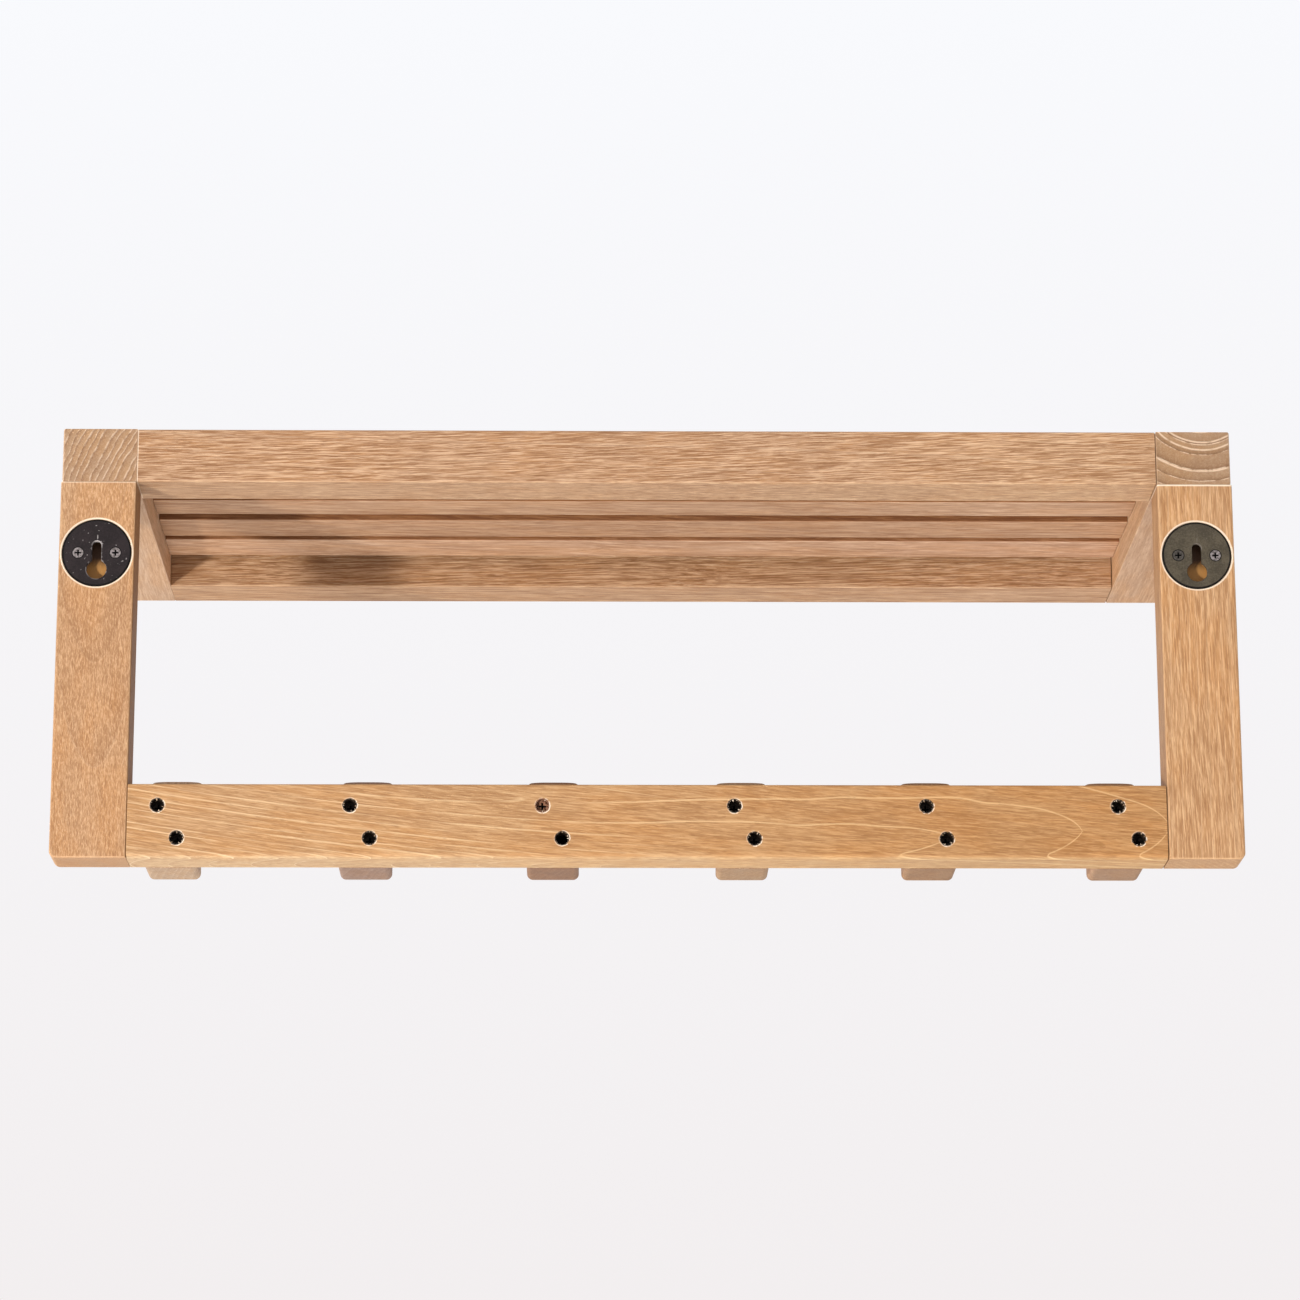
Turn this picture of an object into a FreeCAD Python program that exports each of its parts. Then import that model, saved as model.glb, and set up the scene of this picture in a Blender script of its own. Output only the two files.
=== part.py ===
import FreeCAD, Part
import math
import os

# A solid teak wall shelf with a row of coat hooks, drawn in millimetres.
# +X is the right side as seen from the front, -Y points away from the wall, +Z is up.
# Heights are drawn from the underside of the posts. On export everything moves down, so that
# the origin is on the wall plane, midway between the entry holes of the two keyhole plates.

V = FreeCAD.Vector
X, Y, Z = V(1, 0, 0), V(0, 1, 0), V(0, 0, 1)
SIDES = {"left": -1, "right": 1}

# the whole
width = 600.0
depth = 227.0
height = 224.8

# posts and arms
post_width = 38.5
post_depth = 24.0
arm_height = 28.1
arm_inset = 0.5  # the arms' outer faces stand this far inside the posts' outer faces
foot_radius = 3.5  # the posts' lower outer corners
nose_radius = 5.0  # the arms' front outer corners

# shelf rails and slats
rail_depth = 31.0
slat_gaps = (12.4, 10.9, 10.9, 7.3)  # before each slat, from the wall to the front
slat_widths = (30.4, 25.1, 30.4, 30.3)
slat_thickness = 12.5
tenon_length = 8.0
tenon_width = 22.0
tenon_thickness = 7.0
mortise_play = 0.15  # all round a tenon
slat_end_play = 0.1  # between the end of a slat and the arm beside it

# hook rail
hook_rail_height = 38.0
hook_rail_radius = 3.0  # its lower edge on the wall side

# hooks: reach is measured from the hook rail's front face, height from the underside
hook_count = 6
hook_pitch = 95.6
hook_width = 26.5
heel_reach, heel_radius = 28.0, 4.0
tip_reach, tip_height, tip_radius = 30.0, 47.0, 4.5
throat_floor = 33.0
throat_radius = 10.0
tip_crown_radius = 75.0  # the tip is a little higher in its middle
hook_corner_radius = 3.0
hook_strays = (0.0, -0.4, -0.7, 0.3, 0.2, 2.5)  # off its even place, as each was set by eye

# hook screws, two to a hook on a diagonal
screw_pair_pitch = 96.6
screw_pair_offset = 5.0
low_screw_height = 10.2
high_screw_height = 27.0
counterbore_radius = 3.3
counterbore_depth = 8.0
shallow_depth = 2.6  # one upper screw sits shallow
shallow_hook = 4  # counted from the left
hook_screw_length = 30.0
hook_screw_radius = 1.75
hook_screw_head_radius = 3.1
hook_screw_head_height = 2.3

# keyhole plates, let into the posts from the wall side
plate_radius = 17.5
plate_thickness = 2.0
plate_height = 158.7  # centre above the underside
plate_edge_distance = 19.3  # centre from the post's outer face
plate_play = 0.35  # round the plate in its recess
recess_bevel = 0.3
entry_radius = 5.15
entry_drop = 8.6  # centre of the entry hole below the plate's centre
slot_radius = 2.4
slot_rise = 6.2  # top of the slot above the plate's centre
pocket_radius = 6.5
pocket_depth = 5.5  # behind the plate, for the head of a wall screw
plate_screw_distance = 9.5
plate_screw_length = 14.0
plate_screw_radius = 1.4
plate_screw_head_radius = 2.7
plate_screw_head_height = 1.5

# dowels
dowel_radius = 4.0
dowel_play = 0.05
dowel_end_room = 1.0
dowel_bevel = 0.8
post_dowel_spacing = 19.0
post_dowel_in_arm = 12.0
post_dowel_in_post = 18.0
shelf_dowel_half = 15.0
shelf_dowel_height = 216.0
shelf_dowel_margin = 9.5  # from the rail's long faces
rail_dowel_in_rail = 10.0
rail_dowel_in_post = 18.0
rail_dowel_heights = (12.0, 27.0)

# roundings of edges, room round screws, and the cross recess in a screw's head
edge_radius = 1.1
joint_radius = 0.4
joint_gaps = {"left": 0.35, "right": 0.05}  # beside a rail's ends, where its left joint has opened
slat_radius = 0.9
plate_bevel = 0.25  # on the plate's rim and round its keyhole
pilot_play = 0.1
cross_length_share = 0.62  # of the head's radius
cross_width_share = 0.32
cross_depth_share = 0.55  # of the head's height

# worked out from the sizes above
post_top = height - arm_height
inner_x = width / 2 - post_width
plate_x = width / 2 - plate_edge_distance
entry_height = plate_height - entry_drop
slot_height = plate_height + slot_rise - slot_radius
post_middle_y = -post_depth / 2
slat_middle = height - slat_thickness / 2


def block(low, high):
    return Part.makeBox(high[0] - low[0], high[1] - low[1], high[2] - low[2], V(*low))


def rod(start, direction, length, radius):
    return Part.makeCylinder(radius, length, start, direction)


def lies_on(edge, plane):
    """Whether an edge lies on a plane, given as the axis it is square to and its place there."""
    axis, place = plane
    box = edge.BoundBox
    low = (box.XMin, box.YMin, box.ZMin)[axis]
    high = (box.XMax, box.YMax, box.ZMax)[axis]
    return abs(low - place) < 1e-4 and abs(high - place) < 1e-4


def eased(shape, radius, *pairs):
    """Rounds the edges where both planes of a pair meet."""
    edges = [e for e in shape.Edges if any(lies_on(e, a) and lies_on(e, b) for a, b in pairs)]
    return shape.makeFillet(radius, edges)


def rail_ends():
    """Where a rail between the posts or arms starts and ends."""
    return -inner_x + joint_gaps["left"], inner_x - joint_gaps["right"]


def eased_block(low, high, along, radius, end_radius):
    """A stick of wood with rounded long edges along the axis `along`, and finer end edges."""
    across = [axis for axis in range(3) if axis != along]
    long_pairs = [
        ((across[0], a), (across[1], b))
        for a in (low[across[0]], high[across[0]])
        for b in (low[across[1]], high[across[1]])
    ]
    stick = eased(block(low, high), radius, *long_pairs)
    for end in (low[along], high[along]):
        edges = [e for e in stick.Edges if lies_on(e, (along, end))]
        stick = stick.makeFillet(end_radius, edges)
    return stick


def dowel_hole(start, direction, length):
    return rod(start, direction, length + dowel_end_room, dowel_radius + dowel_play)


def dowel(start, direction, length):
    """A beech dowel with bevelled ends."""
    pin = rod(start, direction, length, dowel_radius)
    rims = [e for e in pin.Edges if len(e.Vertexes) == 1]
    return pin.makeChamfer(dowel_bevel, rims)


def post_dowel_places(side):
    """Where a post's dowels cross the joint under its arm."""
    middle = side * (width / 2 - post_width / 2)
    offsets = (-post_dowel_spacing / 2, post_dowel_spacing / 2)
    return [V(middle + offset, post_middle_y, post_top) for offset in offsets]


def shelf_dowel_places(side, back_y):
    """Where the dowels of a shelf rail cross its joint with an arm."""
    margins = (shelf_dowel_margin, rail_depth - shelf_dowel_margin)
    return [V(side * inner_x, back_y - margin, shelf_dowel_height) for margin in margins]


def rail_dowel_places(side):
    return [V(side * inner_x, post_middle_y, z) for z in rail_dowel_heights]


def plate_screw_places(side):
    offsets = (-plate_screw_distance, plate_screw_distance)
    return [V(side * plate_x + offset, 0, plate_height) for offset in offsets]


def upright_slot(x, radius, length):
    """A slot from the wall plane that runs up from the entry hole's centre to the slot's top."""
    low = rod(V(x, 0, entry_height), -Y, length, radius)
    high = rod(V(x, 0, slot_height), -Y, length, radius)
    middle = block((x - radius, -length, entry_height), (x + radius, 0, slot_height))
    return middle.fuse([low, high]).removeSplitter()


def post(side):
    low = (min(side * inner_x, side * width / 2), -post_depth, 0)
    high = (max(side * inner_x, side * width / 2), 0, post_top)
    outer, inner = (0, side * width / 2), (0, side * inner_x)
    back, front, under, top = (1, 0), (1, -post_depth), (2, 0), (2, post_top)
    shape = eased(block(low, high), foot_radius, (outer, under))
    shape = eased(shape, edge_radius, (outer, back), (outer, front), (inner, back), (inner, front))
    shape = eased(shape, joint_radius, (top, outer), (top, inner), (top, back), (top, front))
    centre = V(side * plate_x, 0, plate_height)
    recess_radius = plate_radius + plate_play
    shape = shape.cut(rod(centre, -Y, plate_thickness, recess_radius))
    mouth = Part.makeCone(recess_radius + recess_bevel, recess_radius, recess_bevel, centre, -Y)
    shape = shape.cut(mouth)
    shape = shape.cut(upright_slot(side * plate_x, pocket_radius, plate_thickness + pocket_depth))
    for place in plate_screw_places(side):
        shape = shape.cut(rod(place, -Y, plate_screw_length + 1, plate_screw_radius + pilot_play))
    for place in post_dowel_places(side):
        shape = shape.cut(dowel_hole(place, -Z, post_dowel_in_post))
    for place in rail_dowel_places(side):
        shape = shape.cut(dowel_hole(place, X * side, rail_dowel_in_post))
    return shape


def arm(side):
    outer_x, near_x = side * (width / 2 - arm_inset), side * inner_x
    low = (min(near_x, outer_x), -depth, post_top)
    high = (max(near_x, outer_x), 0, height)
    outer, inner = (0, outer_x), (0, near_x)
    back, front, under, top = (1, 0), (1, -depth), (2, post_top), (2, height)
    shape = eased(block(low, high), nose_radius, (outer, front))
    shape = eased(shape, edge_radius, (outer, top), (outer, under), (outer, back))
    shape = eased(shape, joint_radius, (inner, top), (inner, under), (inner, back), (inner, front))
    for back_y, front_y in slat_spans():
        shape = shape.cut(mortise(side, (back_y + front_y) / 2))
    for place in post_dowel_places(side):
        shape = shape.cut(dowel_hole(place, Z, post_dowel_in_arm))
    for back_y in (0, rail_depth - depth):
        for place in shelf_dowel_places(side, back_y):
            shape = shape.cut(dowel_hole(place, X * side, shelf_dowel_half))
    return shape


def shelf_rail(back_y):
    """A rail of the shelf, whose face towards the wall is at back_y."""
    left_x, right_x = rail_ends()
    low = (left_x, back_y - rail_depth, post_top)
    high = (right_x, back_y, height)
    shape = eased_block(low, high, 0, edge_radius, joint_radius)
    for side in SIDES.values():
        for place in shelf_dowel_places(side, back_y):
            shape = shape.cut(dowel_hole(place, X * -side, shelf_dowel_half))
    return shape


def slat_spans():
    """Where each slat starts and ends, from the wall to the front."""
    spans = []
    front_y = -rail_depth
    for gap, width_of_slat in zip(slat_gaps, slat_widths):
        back_y = front_y - gap
        front_y = back_y - width_of_slat
        spans.append((back_y, front_y))
    return spans


def mortise(side, middle_y):
    """The hole in an arm for one end of a slat."""
    far_x = side * (inner_x + tenon_length + dowel_end_room)
    near_x = side * inner_x
    half_width = tenon_width / 2 + mortise_play
    half_thickness = tenon_thickness / 2 + mortise_play
    low = (min(near_x, far_x), middle_y - half_width, slat_middle - half_thickness)
    high = (max(near_x, far_x), middle_y + half_width, slat_middle + half_thickness)
    return block(low, high)


def slat(back_y, front_y):
    """A shelf slat with a stub tenon at each end."""
    end_x = inner_x - slat_end_play
    low = (-end_x, front_y, height - slat_thickness)
    high = (end_x, back_y, height)
    board = eased_block(low, high, 0, slat_radius, joint_radius)
    middle_y = (back_y + front_y) / 2
    tenon_x = inner_x + tenon_length
    tenons = block(
        (-tenon_x, middle_y - tenon_width / 2, slat_middle - tenon_thickness / 2),
        (tenon_x, middle_y + tenon_width / 2, slat_middle + tenon_thickness / 2),
    )
    return board.fuse(tenons).removeSplitter()


def hook_screws(hook):
    """The two screws of a hook, each as its place on the rail and its counterbore's depth."""
    centre = (hook - (hook_count + 1) / 2) * screw_pair_pitch
    high_depth = shallow_depth if hook == shallow_hook else counterbore_depth
    return [
        (V(centre + screw_pair_offset, 0, high_screw_height), high_depth),
        (V(centre - screw_pair_offset, 0, low_screw_height), counterbore_depth),
    ]


def screw_hole(place, depth_below, length, radius, head_radius, head_height):
    """A pilot hole with a seat for a countersunk head that starts depth_below the surface."""
    seat = place - Y * depth_below
    pilot = rod(seat, -Y, length + 1, radius + pilot_play)
    cone = Part.makeCone(head_radius, radius + pilot_play, head_height, seat, -Y)
    return pilot.fuse(cone)


def screw(place, depth_below, length, radius, head_radius, head_height):
    """A countersunk wood screw with a pointed end and a cross recess."""
    seat = place - Y * depth_below
    point = 2 * radius
    shape = Part.makeCone(head_radius, radius, head_height, seat, -Y)
    shape = shape.fuse(rod(seat - Y * head_height, -Y, length - head_height - point, radius))
    shape = shape.fuse(Part.makeCone(radius, radius / 4, point, seat - Y * (length - point), -Y))
    arm_length = head_radius * cross_length_share
    arm_half = head_radius * cross_width_share / 2
    cut_depth = head_height * cross_depth_share
    for reach_x, reach_z in ((arm_length, arm_half), (arm_half, arm_length)):
        low = (seat.x - reach_x, seat.y - cut_depth, seat.z - reach_z)
        high = (seat.x + reach_x, seat.y, seat.z + reach_z)
        shape = shape.cut(block(low, high))
    return shape.removeSplitter()


def hook_screw(place, depth_below):
    return screw(
        place,
        depth_below,
        hook_screw_length,
        hook_screw_radius,
        hook_screw_head_radius,
        hook_screw_head_height,
    )


def hook_screw_hole(place, depth_below):
    hole = screw_hole(
        place,
        depth_below,
        hook_screw_length,
        hook_screw_radius,
        hook_screw_head_radius,
        hook_screw_head_height,
    )
    return hole.fuse(rod(place, -Y, depth_below, counterbore_radius))


def plate_screw(place):
    return screw(
        place,
        0,
        plate_screw_length,
        plate_screw_radius,
        plate_screw_head_radius,
        plate_screw_head_height,
    )


def plate_screw_hole(place):
    return screw_hole(
        place,
        0,
        plate_screw_length,
        plate_screw_radius,
        plate_screw_head_radius,
        plate_screw_head_height,
    )


def hook_rail():
    left_x, right_x = rail_ends()
    low, high = (left_x, -post_depth, 0), (right_x, 0, hook_rail_height)
    back, front, under, top = (1, 0), (1, -post_depth), (2, 0), (2, hook_rail_height)
    shape = eased(block(low, high), hook_rail_radius, (back, under))
    shape = eased(shape, edge_radius, (back, top), (front, top), (front, under))
    for end_x in (left_x, right_x):
        shape = shape.makeFillet(joint_radius, [e for e in shape.Edges if lies_on(e, (0, end_x))])
    for side in SIDES.values():
        for place in rail_dowel_places(side):
            shape = shape.cut(dowel_hole(place, X * -side, rail_dowel_in_rail))
    for hook in range(1, hook_count + 1):
        for place, depth_below in hook_screws(hook):
            shape = shape.cut(hook_screw_hole(place, depth_below))
    return shape


def outer_tangent(first, first_radius, second, second_radius):
    """The points where a line touches the outer side of two circles in the hook's side view."""
    run_reach, run_height = second[0] - first[0], second[1] - first[1]
    turn = math.asin((first_radius - second_radius) / math.hypot(run_reach, run_height))
    angle = math.atan2(run_height, run_reach) - math.pi / 2 + turn
    aim = (math.cos(angle), math.sin(angle))
    circles = ((first, first_radius), (second, second_radius))
    return [(c[0] + aim[0] * r, c[1] + aim[1] * r) for c, r in circles]


def arc_middle(centre, radius, degrees):
    angle = math.radians(degrees)
    return centre[0] + radius * math.cos(angle), centre[1] + radius * math.sin(angle)


def hook(number):
    """A hook sawn from a block: a flat heel, an upturned tip and a round throat between them."""
    centre_x = (number - (hook_count + 1) / 2) * hook_pitch + hook_strays[number - 1]
    left_x = centre_x - hook_width / 2

    def at(point):
        return V(left_x, -post_depth - point[0], point[1])

    def line(start, end):
        return Part.LineSegment(at(start), at(end)).toShape()

    def arc(start, middle, end):
        return Part.Arc(at(start), at(middle), at(end)).toShape()

    heel, tip = (heel_reach, heel_radius), (tip_reach, tip_height)
    heel_side, tip_side = outer_tangent(heel, heel_radius, tip, tip_radius)
    throat = (tip_reach - tip_radius - throat_radius, throat_floor + throat_radius)
    heel_start = (heel_reach, 0)
    tip_end = (tip_reach - tip_radius, tip_height)
    throat_side = (tip_end[0], throat[1])
    throat_end = (throat[0], throat_floor)
    edges = [
        line((0, 0), heel_start),
        arc(heel_start, arc_middle(heel, heel_radius, -45), heel_side),
        line(heel_side, tip_side),
        arc(tip_side, arc_middle(tip, tip_radius, 90), tip_end),
        line(tip_end, throat_side),
        arc(throat_side, arc_middle(throat, throat_radius, -45), throat_end),
        line(throat_end, (0, throat_floor)),
        line((0, throat_floor), (0, 0)),
    ]
    shape = Part.Face(Part.Wire(edges)).extrude(X * hook_width)
    back = (1, -post_depth)
    sides = [(0, left_x), (0, left_x + hook_width)]
    rims = [
        e for e in shape.Edges if any(lies_on(e, s) for s in sides) and not lies_on(e, back)
    ]
    shape = shape.makeFillet(hook_corner_radius, rims)
    crown_middle = V(centre_x, -post_depth, tip_height + tip_radius - tip_crown_radius)
    shape = shape.common(rod(crown_middle, -Y, tip_reach + 1, tip_crown_radius))
    for place, depth_below in hook_screws(number):
        shape = shape.cut(hook_screw_hole(place, depth_below))
    return shape


def keyhole_plate(side):
    x = side * plate_x
    shape = rod(V(x, 0, plate_height), -Y, plate_thickness, plate_radius)
    shape = shape.cut(rod(V(x, 0, entry_height), -Y, plate_thickness, entry_radius))
    shape = shape.cut(upright_slot(x, slot_radius, plate_thickness))
    shape = shape.makeChamfer(plate_bevel, [e for e in shape.Edges if lies_on(e, (1, 0))])
    for place in plate_screw_places(side):
        shape = shape.cut(plate_screw_hole(place))
    return shape


def shelf_rail_dowels(back_y):
    length = 2 * shelf_dowel_half
    starts = [
        place - X * side * shelf_dowel_half
        for side in SIDES.values()
        for place in shelf_dowel_places(side, back_y)
    ]
    directions = [X * side for side in SIDES.values() for _ in range(2)]
    return [dowel(start, way, length) for start, way in zip(starts, directions)]


def export(node, *solids):
    """Writes one node, moved so that the origin is level with the keyholes' entry holes."""
    shape = solids[0] if len(solids) == 1 else Part.makeCompound(list(solids))
    shape = shape.copy()
    shape.translate(V(0, 0, -entry_height))
    shape.exportStep(f"parts/{node}.step")


def main():
    os.makedirs("parts", exist_ok=True)
    for name, side in SIDES.items():
        export(f"{name}_post", post(side))
        export(f"{name}_arm", arm(side))
        export(f"{name}_keyhole_plate", keyhole_plate(side))
        export(f"{name}_plate_screws", *[plate_screw(p) for p in plate_screw_places(side)])
        in_post = [p - Z * post_dowel_in_post for p in post_dowel_places(side)]
        length = post_dowel_in_post + post_dowel_in_arm
        export(f"{name}_post_dowels", *[dowel(p, Z, length) for p in in_post])
    export("shelf_back_rail", shelf_rail(0))
    export("shelf_front_rail", shelf_rail(rail_depth - depth))
    export("back_rail_dowels", *shelf_rail_dowels(0))
    export("front_rail_dowels", *shelf_rail_dowels(rail_depth - depth))
    for number, (back_y, front_y) in enumerate(slat_spans(), start=1):
        export(f"slat_{number}", slat(back_y, front_y))
    export("hook_rail", hook_rail())
    rail_dowel_length = rail_dowel_in_rail + rail_dowel_in_post
    rail_dowels = [
        dowel(place - X * side * rail_dowel_in_rail, X * side, rail_dowel_length)
        for side in SIDES.values()
        for place in rail_dowel_places(side)
    ]
    export("hook_rail_dowels", *rail_dowels)
    for number in range(1, hook_count + 1):
        export(f"hook_{number}", hook(number))
        export(f"hook_{number}_screws", *[hook_screw(p, d) for p, d in hook_screws(number)])


main()
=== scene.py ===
"""Looks for a solid teak wall shelf with coat hooks, seen from its wall side."""

import math
import random

import bmesh
import bpy
from mathutils import Matrix, Vector


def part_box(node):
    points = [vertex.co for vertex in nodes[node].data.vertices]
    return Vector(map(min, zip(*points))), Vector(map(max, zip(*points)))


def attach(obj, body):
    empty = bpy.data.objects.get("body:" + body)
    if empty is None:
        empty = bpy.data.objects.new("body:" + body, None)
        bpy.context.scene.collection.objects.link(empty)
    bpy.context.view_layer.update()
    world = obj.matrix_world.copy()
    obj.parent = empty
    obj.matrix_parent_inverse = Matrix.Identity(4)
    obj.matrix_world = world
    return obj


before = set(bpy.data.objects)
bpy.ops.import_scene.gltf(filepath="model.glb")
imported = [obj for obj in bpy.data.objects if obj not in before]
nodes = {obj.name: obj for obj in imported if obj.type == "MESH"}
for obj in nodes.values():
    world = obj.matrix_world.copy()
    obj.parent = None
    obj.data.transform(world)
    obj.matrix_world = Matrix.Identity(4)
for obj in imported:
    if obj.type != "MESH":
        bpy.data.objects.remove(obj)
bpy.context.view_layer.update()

MM = 0.001
SEED = 11
SEED_STEP = 17.3  # from one stick of wood to the next

# ---------------------------------------------------------------- camera, floor and light

VIEW_TURN = math.radians(0.94)  # from straight behind, towards +X
VIEW_RISE = math.radians(-15.01)
VIEW_ROLL = math.radians(-0.12)
VIEW_DISTANCE = 2.2407
VIEW_AIM = Vector((-0.001, 0.0, -0.0421))
LENS = 122.33
SENSOR_WIDTH = 36.0
VIEW_REACH = 100.0

FLOOR_DROP = 1.7
FLOOR_HALF = 12.0
FLOOR_COLOUR = (0.88, 0.87, 0.87)
FLOOR_ROUGHNESS = 0.9

KEY_FROM = Vector((0.51, 0.78, -0.37))
KEY_AIM = Vector((0.28, 0.0, 0.0))
KEY_DISTANCE = 4.0
KEY_SIZE = 0.34
KEY_POWER = 128.0
KEY_COLOUR = (1.0, 0.985, 0.965)

# how high the direction points, and the colour of the room there
ROOM = ((0.10, (0.888, 0.855, 0.86)), (0.40, (0.947, 0.956, 0.985)), (0.75, (0.62, 0.62, 0.64)))

BOUNCE_FROM = Vector((0.2, -0.3, -1.5))
BOUNCE_SIZE = 1.6
BOUNCE_POWER = 18.0
BOUNCE_COLOUR = (1.0, 0.98, 0.96)


def add_camera():
    data = bpy.data.cameras.new("camera")
    data.lens = LENS
    data.sensor_width = SENSOR_WIDTH
    data.clip_end = VIEW_REACH
    camera = bpy.data.objects.new("camera", data)
    bpy.context.scene.collection.objects.link(camera)
    level = math.cos(VIEW_RISE)
    away = Vector((math.sin(VIEW_TURN) * level, math.cos(VIEW_TURN) * level, math.sin(VIEW_RISE)))
    turn = (-away).to_track_quat("-Z", "Y").to_matrix().to_4x4()
    place = Matrix.Translation(VIEW_AIM + away * VIEW_DISTANCE)
    camera.matrix_world = place @ turn @ Matrix.Rotation(VIEW_ROLL, 4, "Z")
    bpy.context.scene.camera = camera


def add_floor():
    mesh = bpy.data.meshes.new("floor")
    corners = [(-1, -1), (1, -1), (1, 1), (-1, 1)]
    points = [(x * FLOOR_HALF, y * FLOOR_HALF, -FLOOR_DROP) for x, y in corners]
    mesh.from_pydata(points, [], [(0, 1, 2, 3)])
    floor = bpy.data.objects.new("floor", mesh)
    bpy.context.scene.collection.objects.link(floor)
    material = bpy.data.materials.new("pale_floor")
    material.use_nodes = True
    shader = material.node_tree.nodes["Principled BSDF"]
    shader.inputs["Base Color"].default_value = (*FLOOR_COLOUR, 1)
    shader.inputs["Roughness"].default_value = FLOOR_ROUGHNESS
    mesh.materials.append(material)


def add_light(name, place, aim, size, power, colour):
    data = bpy.data.lights.new(name, "AREA")
    data.shape = "DISK"
    data.size = size
    data.energy = power
    data.color = colour
    light = bpy.data.objects.new(name, data)
    bpy.context.scene.collection.objects.link(light)
    light.visible_camera = False
    light.location = place
    light.rotation_euler = (aim - place).to_track_quat("-Z", "Y").to_euler()


def add_world():
    """A pale room, a little brighter and cooler higher up, under a dimmer ceiling."""
    world = bpy.data.worlds.new("studio")
    bpy.context.scene.world = world
    world.use_nodes = True
    tree = world.node_tree
    parts = tree.nodes.new("ShaderNodeSeparateXYZ")
    tree.links.new(tree.nodes.new("ShaderNodeTexCoord").outputs["Generated"], parts.inputs[0])
    ramp = tree.nodes.new("ShaderNodeValToRGB")
    tree.links.new(parts.outputs["Z"], ramp.inputs[0])
    tree.links.new(ramp.outputs["Color"], tree.nodes["Background"].inputs["Color"])
    stops = ramp.color_ramp.elements
    for count, (height, colour) in enumerate(ROOM):
        stop = stops[count] if count < len(stops) else stops.new(height)
        stop.position = height
        stop.color = (*colour, 1)


def add_studio():
    add_camera()
    add_floor()
    add_world()
    key = KEY_AIM + KEY_FROM.normalized() * KEY_DISTANCE
    add_light("key", key, KEY_AIM, KEY_SIZE, KEY_POWER, KEY_COLOUR)
    add_light("bounce", BOUNCE_FROM, VIEW_AIM, BOUNCE_SIZE, BOUNCE_POWER, BOUNCE_COLOUR)


# ---------------------------------------------------------------- node graphs


class Graph:
    """Shorthand for building a material's nodes. Values are sockets, numbers or tuples."""

    def __init__(self, name):
        self.material = bpy.data.materials.new(name)
        self.material.use_nodes = True
        self.tree = self.material.node_tree
        self.shader = self.tree.nodes["Principled BSDF"]

    def feed(self, socket, value):
        if isinstance(value, bpy.types.NodeSocket):
            self.tree.links.new(value, socket)
        elif value is not None:
            socket.default_value = value

    def math(self, operation, first, second=None):
        node = self.tree.nodes.new("ShaderNodeMath")
        node.operation = operation
        self.feed(node.inputs[0], first)
        self.feed(node.inputs[1], second)
        return node.outputs[0]

    def add(self, first, second):
        return self.math("ADD", first, second)

    def less(self, first, second):
        return self.math("SUBTRACT", first, second)

    def times(self, first, second):
        return self.math("MULTIPLY", first, second)

    def length(self, *parts):
        total = self.times(parts[0], parts[0])
        for part in parts[1:]:
            total = self.add(total, self.times(part, part))
        return self.math("SQRT", total)

    def step(self, value, low, high):
        """0 below low, 1 above high, smooth between; low may be the larger."""
        node = self.tree.nodes.new("ShaderNodeMapRange")
        node.interpolation_type = "SMOOTHSTEP"
        node.inputs["From Min"].default_value = low
        node.inputs["From Max"].default_value = high
        self.feed(node.inputs["Value"], value)
        return node.outputs[0]

    def mix(self, share, first, second):
        node = self.tree.nodes.new("ShaderNodeMix")
        node.data_type = "RGBA"
        self.feed(node.inputs["Factor"], share)
        self.feed(node.inputs["A"], (*first, 1) if isinstance(first, tuple) else first)
        self.feed(node.inputs["B"], (*second, 1) if isinstance(second, tuple) else second)
        return node.outputs["Result"]

    def vector(self, x, y, z):
        node = self.tree.nodes.new("ShaderNodeCombineXYZ")
        for socket, value in zip(node.inputs, (x, y, z)):
            self.feed(socket, value)
        return node.outputs[0]

    def noise(self, place, scale=1.0, detail=2.0, rough=0.5, seed=0.0):
        """Smooth noise about 0.5."""
        node = self.tree.nodes.new("ShaderNodeTexNoise")
        node.noise_dimensions = "4D"
        self.feed(node.inputs["Vector"], place)
        node.inputs["W"].default_value = seed
        node.inputs["Scale"].default_value = scale
        node.inputs["Detail"].default_value = detail
        node.inputs["Roughness"].default_value = rough
        return node.outputs["Fac"]

    def millimetres(self):
        """The place on the object, as three numbers in millimetres."""
        place = self.tree.nodes.new("ShaderNodeTexCoord").outputs["Object"]
        scale = self.tree.nodes.new("ShaderNodeVectorMath")
        scale.operation = "SCALE"
        scale.inputs["Scale"].default_value = 1 / MM
        self.feed(scale.inputs[0], place)
        parts = self.tree.nodes.new("ShaderNodeSeparateXYZ")
        self.feed(parts.inputs[0], scale.outputs[0])
        return tuple(parts.outputs)

    def facing(self):
        """The way the surface faces, as three numbers."""
        parts = self.tree.nodes.new("ShaderNodeSeparateXYZ")
        self.feed(parts.inputs[0], self.tree.nodes.new("ShaderNodeTexCoord").outputs["Normal"])
        return tuple(parts.outputs)

    def tint(self, colour, factors):
        node = self.tree.nodes.new("ShaderNodeMix")
        node.data_type = "RGBA"
        node.blend_type = "MULTIPLY"
        self.feed(node.inputs["Factor"], 1.0)
        self.feed(node.inputs["A"], colour)
        self.feed(node.inputs["B"], (*factors, 1))
        return node.outputs["Result"]

    def bump(self, height, distance):
        node = self.tree.nodes.new("ShaderNodeBump")
        node.inputs["Distance"].default_value = distance
        node.inputs["Strength"].default_value = 1.0
        self.feed(node.inputs["Height"], height)
        self.feed(self.shader.inputs["Normal"], node.outputs[0])


# ---------------------------------------------------------------- teak

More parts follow.
